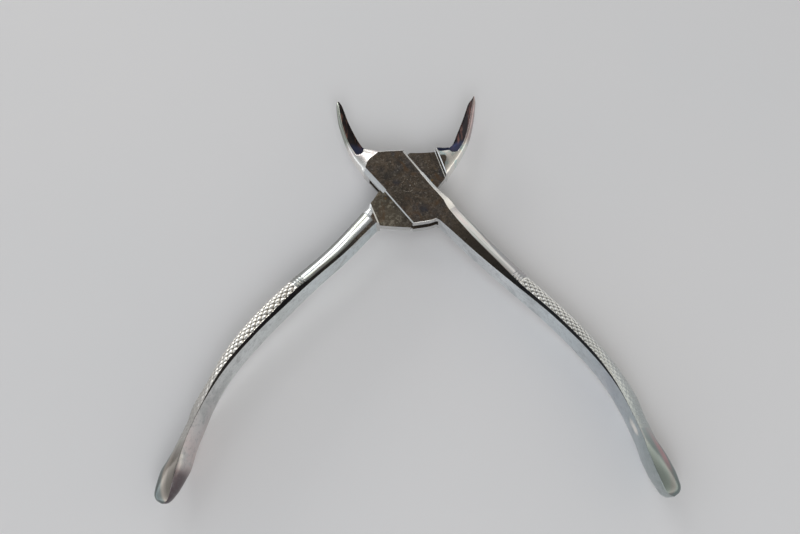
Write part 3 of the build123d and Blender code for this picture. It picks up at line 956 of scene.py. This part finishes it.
def knurl_material(name, near, far, valley):
    m = new_material(name)
    # painted light: near and far are the knurl's lit tone by the box and its duller tone towards
    # the end; the left knurl's cream-white stands for its highlight
    col = m.mix(m.steps(m.attr("along"), zero=45.0, one=76.0), near, far)
    col = m.cover(col, (0.48, 0.46, 0.40), start=0.50, full=0.80, amount=0.4,
                  scale=420, detail=5, rough=0.65, dist=0.5)
    groove = m.attr("groove")
    # painted shade with some grime: the grooves go towards the valley colour
    col = m.mix(m.steps(groove, zero=0.22, one=0.85), col, valley)
    return m.done(m.metal(col, m.scaled(groove, by=0.25, plus=0.27),
                          m.noise(scale=1800, detail=5, rough=0.7),
                          strength=0.35, depth=0.00003))


def inner_material(name, stops, tint, patch, clear, glint=None):
    """The handle's inner face: cloudy up to `clear` along it; its tone along its length is painted
    light and shade, darker towards the end.

    glint: a painted highlight's distance along, height, half length and half height in mm.
    """
    m = new_material(name)
    # painted light and shade along the handle: lit and shaded tones, a painted pink reflection and
    # a painted shadow at the left paddle's end
    col = m.ramp(m.math("DIVIDE", m.attr("along"), PAINT_LENGTH), stops)
    keep = m.steps(m.attr("along"), zero=clear + 3.0, one=clear)
    cloud = m.noise(scale=70, detail=4, rough=0.6, dist=0.8)
    col = m.mix(m.times(keep, m.ramp(cloud, [(0.42, 0.0), (0.66, 0.6)])), col, tint)
    cloud = m.noise(scale=130, detail=5, rough=0.65, dist=1.0)
    col = m.mix(m.times(keep, m.ramp(cloud, [(0.52, 0.0), (0.62, 0.55)])), col, patch)
    col = m.cover(col, (0.24, 0.25, 0.26), start=0.50, full=0.72, amount=0.5,
                  scale=900, detail=5, rough=0.75)
    rough = m.scaled(m.noise(scale=260, detail=5, rough=0.6), by=0.2, plus=0.22)
    grain = dict(scale=1400, detail=5, rough=0.7)
    bump = dict(strength=0.35, depth=0.00003)
    steel = m.metal(col, rough, m.noise(**grain), **bump)
    if glint:
        along, height, half_length, half_height = glint
        du = m.math("DIVIDE", m.math("SUBTRACT", m.attr("along"), along), half_length)
        z = m.times(m.axis("Z"), 1000.0)
        dv = m.math("DIVIDE", m.math("SUBTRACT", z, height), half_height)
        away = m.math("SQRT", m.math("ADD", m.times(du, du), m.times(dv, dv)))
        wobble = m.scaled(m.noise(scale=520, detail=4, rough=0.7), by=1.8, plus=-0.9)
        away = m.math("ADD", away, wobble)
        # painted highlight: a cream patch for the glint at the handle's edge
        wear_and_glint = m.metal((0.90, 0.84, 0.77), 0.40, m.noise(**grain), metallic=0.6, **bump)
        steel = m.both(m.times(m.steps(away, zero=1.35, one=0.45), 0.85), steel, wear_and_glint)
    return m.done(steel)


def front_material(name, stops):
    """The narrow front flat of a handle: brown ground steel by the box, darkened to near black
    beside the knurl, partly its own tone and partly a painted dark reflection.
    """
    m = new_material(name)
    # painted dark reflection in part: the stops run from brown ground steel by the box to near
    # black beside the knurl
    col = m.ramp(m.math("DIVIDE", m.attr("along"), PAINT_LENGTH), stops)
    col = m.cover(col, (0.15, 0.13, 0.11), start=0.52, full=0.75, amount=0.5,
                  scale=400, detail=5, rough=0.65, dist=0.9)
    col = m.cover(col, (0.02, 0.018, 0.018), start=0.54, full=0.74, amount=0.6,
                  scale=2300, detail=5, rough=0.75)
    rough = m.scaled(m.noise(scale=500, detail=4), by=0.2, plus=0.20)
    dark = m.metal(col, rough, m.noise(scale=1500, detail=5, rough=0.7),
                   strength=0.3, depth=0.00003)
    return m.done(m.both(m.steps(m.attr("along"), zero=13.0, one=0.8), dark, ground(m)))


def grip_material(name, stops, streak_a, streak_b, cross, shade=None):
    """Smooth bright parts of a handle: long streaks, colour shifting along its length as painted
    light.

    cross: painted reflection and shade bands across the handle's end; shade: painted shade across
    it near the box.
    """
    m = new_material(name)
    # painted light: the stops are bright near the box, where the highlight falls, and duller
    # further out
    col = m.ramp(m.math("DIVIDE", m.attr("along"), PAINT_LENGTH), stops)
    broad = m.streaks(along=0.10, across=0.9, detail=3.0, dist=0.4)
    thin = m.streaks(along=0.06, across=1.6, detail=4.0, dist=0.8)
    # streaks: polish marks, tinted by streak_a and streak_b as painted reflections of the backdrop
    col = m.cover(col, streak_a, start=0.50, full=0.62, amount=0.75, by=broad)
    col = m.cover(col, streak_b, start=0.54, full=0.64, amount=0.7, by=thin)
    # bands from the crown's middle (0) to the ridge (1)
    band = m.scaled(m.math("ABSOLUTE", m.attr("across")), by=0.125,
                    plus=m.scaled(broad, by=0.16, plus=-0.08))
    # painted reflection and shade: pink, cream and dark bands across the paddle's end
    at_end = m.times(m.steps(m.attr("along"), zero=82.4, one=88.5), 0.9)
    col = m.mix(at_end, col, m.ramp(band, cross))
    if shade:
        # painted shade: darkens the crown's middle near the box
        lit = m.ramp(m.times(m.math("ABSOLUTE", m.attr("across")), 0.14), shade)
        near = m.steps(m.attr("along"), zero=34.0, one=24.0)
        col = m.mix(m.times(near, m.math("SUBTRACT", 1.0, lit)), col, (0.0, 0.0, 0.0))
    else:
        # painted tone at the tip: the painted pink reflection gives way to a darker grey-green
        tip = m.times(m.steps(m.attr("along"), zero=92.0, one=96.0), 0.85)
        col = m.mix(tip, col, (0.21, 0.25, 0.24))
    fine = m.noise(scale=2400, detail=4, rough=0.6)
    rough = m.scaled(m.noise(scale=280, detail=4), by=0.14, plus=0.12)
    height = m.scaled(m.noise(scale=600), by=1.0, plus=m.times(fine, 0.25))
    return m.done(m.metal(col, rough, height))


mat_box = box_material("box_steel")
# painted shade: the slot's inside and the bore are near-black ground steel
mat_dark = ground_material("slot_inside", base=(0.03, 0.026, 0.022), rough=0.55)
mat_flat = ground_material("ground_flat")
mat_tongue = ground_material("tongue_face", olive=0.5)

# in the order of the material slots
female_looks = [
    mat_box,
    knurl_material("knurl_right", near=(0.82, 0.83, 0.82), far=(0.46, 0.50, 0.50),
                   valley=(0.18, 0.18, 0.18)),
    inner_material("inner_face_right", stops=[
        (0.0, (0.84, 0.87, 0.88)), (0.26, (0.84, 0.87, 0.88)), (0.4, (0.76, 0.82, 0.84)),
        (0.55, (0.60, 0.65, 0.67)), (0.65, (0.50, 0.53, 0.57)), (0.75, (0.47, 0.52, 0.54)),
        (0.85, (0.40, 0.45, 0.45)), (1.0, (0.38, 0.42, 0.41)),
    ], tint=(0.66, 0.68, 0.69), patch=(0.50, 0.54, 0.55), clear=200.0,
        glint=(81.2, 5.9, 2.3, 1.7)),
    front_material("front_right", stops=[
        (0.0, (0.10, 0.082, 0.065)), (0.2, (0.085, 0.075, 0.065)),
        (0.3, (0.045, 0.047, 0.052)), (0.5, (0.060, 0.064, 0.075)), (1.0, (0.10, 0.105, 0.12)),
    ]),
    jaw_material("jaw_left", crown=(0.33, 0.35, 0.31), streak=(0.17, 0.085, 0.065),
                 neck=(0.84, 0.76, 0.74)),
    mat_dark,
    grip_material("grip_right", stops=[
        (0.0, (0.54, 0.56, 0.57)), (0.10, (0.47, 0.50, 0.51)), (0.27, (0.45, 0.46, 0.48)),
        (0.8, (0.44, 0.49, 0.49)), (1.0, (0.38, 0.41, 0.40)),
    ], streak_a=(0.54, 0.49, 0.49), streak_b=(0.36, 0.38, 0.35), cross=[
        (0.0, (0.13, 0.17, 0.18)), (0.30, (0.20, 0.24, 0.25)), (0.40, (0.50, 0.27, 0.29)),
        (0.54, (0.44, 0.30, 0.31)), (0.64, (0.27, 0.31, 0.30)), (0.82, (0.20, 0.24, 0.23)),
        (1.0, (0.21, 0.25, 0.24)),
    ]),
    mat_flat,
]
male_looks = [
    mat_box,
    knurl_material("knurl_left", near=(1.0, 0.96, 0.89), far=(0.50, 0.48, 0.45),
                   valley=(0.10, 0.09, 0.075)),
    inner_material("inner_face_left", stops=[
        (0.0, (0.68, 0.76, 0.79)), (0.3, (0.77, 0.82, 0.83)), (0.6, (0.76, 0.78, 0.78)),
        (0.72, (0.60, 0.58, 0.58)), (0.78, (0.68, 0.62, 0.62)), (0.865, (0.64, 0.56, 0.55)),
        (0.90, (0.17, 0.14, 0.145)), (1.0, (0.085, 0.068, 0.078)),
    ], tint=(0.63, 0.66, 0.65), patch=(0.47, 0.49, 0.49), clear=88.0),
    front_material("front_left", stops=[
        (0.0, (0.12, 0.11, 0.10)), (0.2, (0.06, 0.055, 0.05)), (0.3, (0.032, 0.031, 0.035)),
        (0.5, (0.045, 0.040, 0.042)), (0.62, (0.085, 0.078, 0.072)), (1.0, (0.12, 0.11, 0.10)),
    ]),
    jaw_material("jaw_right", crown=(0.50, 0.41, 0.42), streak=(0.085, 0.042, 0.036),
                 neck=(0.55, 0.74, 0.74)),
    mat_dark,
    grip_material("grip_left", stops=[
        (0.0, (0.78, 0.80, 0.80)), (0.15, (0.66, 0.69, 0.69)), (0.24, (0.46, 0.49, 0.49)),
        (0.30, (0.50, 0.50, 0.48)), (0.82, (0.49, 0.47, 0.44)), (1.0, (0.46, 0.42, 0.39)),
    ], streak_a=(0.50, 0.52, 0.42), streak_b=(0.36, 0.31, 0.31), cross=[
        (0.0, (0.30, 0.34, 0.33)), (0.18, (0.12, 0.15, 0.15)), (0.34, (0.20, 0.22, 0.21)),
        (0.46, (0.40, 0.35, 0.30)), (0.66, (0.20, 0.175, 0.15)), (0.88, (0.19, 0.165, 0.14)),
        (0.95, (0.10, 0.085, 0.075)), (1.0, (0.085, 0.07, 0.065)),
    ], shade=[(0.0, 0.62), (0.30, 0.50), (0.46, 0.60), (0.60, 1.0), (1.0, 1.0)]),
    mat_tongue,
]

# ------------------------------------------------------------------ build the pliers


def smooth_shade(mesh, sharp_deg):
    mesh.polygons.foreach_set("use_smooth", np.ones(len(mesh.polygons), bool))
    mesh.set_sharp_from_angle(angle=math.radians(sharp_deg))


def paint_joint(obj, is_male):
    """Give the tongue's faces, the slot's inside and the bore their own materials."""
    mesh = obj.data
    n = len(mesh.polygons)
    normals = np.zeros(n * 3, np.float32)
    centres = np.zeros(n * 3, np.float32)
    looks = np.zeros(n, np.int32)
    mesh.polygons.foreach_get("normal", normals)
    mesh.polygons.foreach_get("center", centres)
    mesh.polygons.foreach_get("material_index", looks)
    tilt = np.abs(normals.reshape(-1, 3)[:, 2])
    x, y, z = (centres.reshape(-1, 3) / MM).T
    from_mid = np.abs(z - MID)
    joint = (y > -14) & (y < 13) & (np.abs(x) < 15)
    if is_male:
        looks[joint & (tilt > 0.985) & (np.abs(from_mid - TONGUE) < 0.03)] = FLAT
    else:
        inside = joint & (from_mid < SLOT + 0.015)
        for dist, deg in (SLOT_JAW, SLOT_GRIP):
            reach = x * math.cos(math.radians(deg)) + y * math.sin(math.radians(deg))
            inside &= reach < dist + 0.02
        looks[inside] = INSIDE
    looks[(np.hypot(x, y) < 2.2) & (tilt < 0.3)] = INSIDE
    mesh.polygons.foreach_set("material_index", looks)
    smooth_shade(mesh, sharp_deg=28)
    mesh.update()


female = build_half("female_body", FEMALE, female_looks)
male = build_half("male_body", MALE, male_looks)
cut(female, slot_block())
cut(female, cylinder("hole", HOLE_R))
cut(male, pocket(1))
cut(male, pocket(-1))
cut(male, cylinder("bore", BORE_R))
pin = build_pin()

paint_joint(female, is_male=False)
paint_joint(male, is_male=True)
pin.data.materials.append(mat_flat)
smooth_shade(pin.data, sharp_deg=25)

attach(female, "female")
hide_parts("female_half")
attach(male, "male")
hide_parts("male_half")
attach(pin, "female")
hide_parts("pivot_pin")

# ------------------------------------------------------------------ floor
FLOOR_HALF = 3.0
FLOOR_GAP = 0.00002

lowest = min((o.matrix_world @ v.co).z for o in (female, male, pin) for v in o.data.vertices)
floor_mesh = bpy.data.meshes.new("studio_floor")
corners = [(x * FLOOR_HALF, y * FLOOR_HALF, 0) for x, y in ((-1, -1), (1, -1), (1, 1), (-1, 1))]
floor_mesh.from_pydata(corners, [], [(0, 1, 2, 3)])
floor = bpy.data.objects.new("studio_floor", floor_mesh)
floor.location = (0, 0, lowest - FLOOR_GAP)
bpy.context.scene.collection.objects.link(floor)
m = new_material("pale_floor")
pale = m.mix(m.noise(scale=9), (0.755, 0.765, 0.785), (0.80, 0.79, 0.80))
floor_mesh.materials.append(m.done(m.metal(pale, rough=0.7, metallic=0.0)))

# ------------------------------------------------------------------ light
# a studio whose walls are bright near the horizon and whose ceiling is dim
world = bpy.data.worlds.new("soft_studio")
bpy.context.scene.world = world
w = Nodes(world, output="ShaderNodeOutputWorld", space="Generated")
direction = w.axes()
lift = w.ramp(direction["Z"], [
    (0.0, 0.95), (0.13, 0.90), (0.28, 0.52), (0.5, 0.36), (0.75, 0.27), (0.9, 0.11), (1.0, 0.10),
])
# cool towards -x, warm towards +x
side_tint = w.ramp(w.scaled(direction["X"], by=0.5, plus=0.5), [
    (0.0, (0.78, 0.82, 0.86)), (0.35, (0.82, 0.84, 0.86)),
    (0.65, (0.80, 0.775, 0.73)), (1.0, (0.78, 0.75, 0.69)),
])
background = w.node("ShaderNodeBackground")
w.link(w.mix(1.0, lift, side_tint, blend_type="MULTIPLY"), background.inputs[0])
background.inputs[1].default_value = 1.9
w.done(background.outputs[0])


def area(name, place, target, size, size_y, power, color):
    light = bpy.data.lights.new(name, "AREA")
    light.shape = "RECTANGLE"
    light.size = size
    light.size_y = size_y
    light.energy = power
    light.color = color
    obj = bpy.data.objects.new(name, light)
    obj.location = place
    obj.rotation_euler = (Vector(target) - Vector(place)).to_track_quat("-Z", "Y").to_euler()
    bpy.context.scene.collection.objects.link(obj)


area("key_upper_left", place=(-0.371, 0.567, 0.182), target=(0, -0.02, 0),
     size=0.30, size_y=0.12, power=0.8, color=(1.0, 0.99, 0.95))
area("card_upper", place=(-0.175, 0.504, 0.455), target=(0, 0, 0),
     size=0.24, size_y=0.16, power=0.30, color=(1.0, 0.99, 0.97))
area("front_fill", place=(0.05, -0.75, 0.75), target=(0, -0.02, 0),
     size=0.6, size_y=0.6, power=3.4, color=(0.97, 0.98, 1.0))

# ------------------------------------------------------------------ camera
CAMERA_PLACE = (3.147, -159.205, 363.899)
CAMERA_TURN = Matrix((  # the columns are the camera's axes
    (0.99934596, 0.03249868, 0.01585853),
    (-0.02485696, 0.93586895, -0.3514704),
    (-0.02626384, 0.35084633, 0.93606467),
))

camera_data = bpy.data.cameras.new("cam")
camera = bpy.data.objects.new("cam", camera_data)
camera_data.sensor_width = 36
camera_data.sensor_fit = "HORIZONTAL"
camera_data.lens = 60.75
camera_data.clip_start = 0.01
camera_data.clip_end = 10
camera.matrix_world = Matrix.Translation(Vector(CAMERA_PLACE) * MM) @ CAMERA_TURN.to_4x4()
bpy.context.scene.collection.objects.link(camera)
bpy.context.scene.camera = camera

bpy.context.scene.view_settings.view_transform = "Standard"

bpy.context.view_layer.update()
